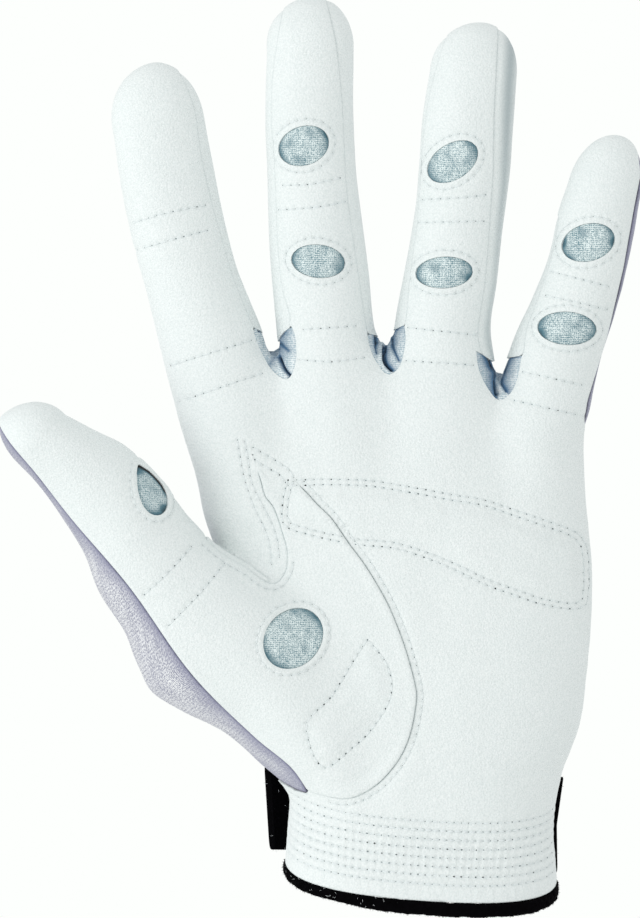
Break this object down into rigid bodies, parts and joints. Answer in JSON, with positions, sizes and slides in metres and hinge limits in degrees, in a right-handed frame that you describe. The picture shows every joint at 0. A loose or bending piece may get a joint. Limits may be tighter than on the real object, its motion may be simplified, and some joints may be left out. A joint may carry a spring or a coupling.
{
  "type": "tennis glove",
  "caption": "Left-hand sports glove filled out as worn: white leather palm and thumb, knit back, oval knit vents on the finger joints, gathered cuff and a wrist strap behind",
  "frame": {"origin": "Middle of the wrist opening, on the axis of the cuff", "axes": "+Z from the wrist to the fingertips, -Y out of the palm side, +X towards the little finger"},
  "size_m": [0.1529, 0.0528, 0.2187],
  "materials": {
    "white_leather": "fine-grained matt white leather",
    "back_knit": "ribbed stretch knit, pale lavender grey",
    "web_knit": "stretch knit, blue grey",
    "window_knit": "smooth silvery knit with a soft sheen",
    "black_binding": "black brushed knit tape",
    "black_hook_and_loop": "black looped fastener tape, matt"
  },
  "bodies": {
    "root": {"palm_leather": "white_leather", "thumb_leather": "white_leather", "side_strip_index": "white_leather", "side_strip_middle_left": "white_leather", "side_strip_middle_right": "white_leather", "side_strip_ring_left": "white_leather", "side_strip_ring_right": "white_leather", "side_strip_little": "white_leather", "thumb_knit": "back_knit", "back_knit": "back_knit", "web_index_middle": "web_knit", "web_middle_ring": "web_knit", "web_ring_little": "web_knit", "window_middle_upper": "window_knit", "window_middle_lower": "window_knit", "window_ring_upper": "window_knit", "window_ring_lower": "window_knit", "window_little_upper": "window_knit", "window_little_lower": "window_knit", "window_thumb": "window_knit", "window_thenar": "window_knit", "hem_binding": "black_binding", "wrist_strap": "black_hook_and_loop"}
  },
  "joints": []
}
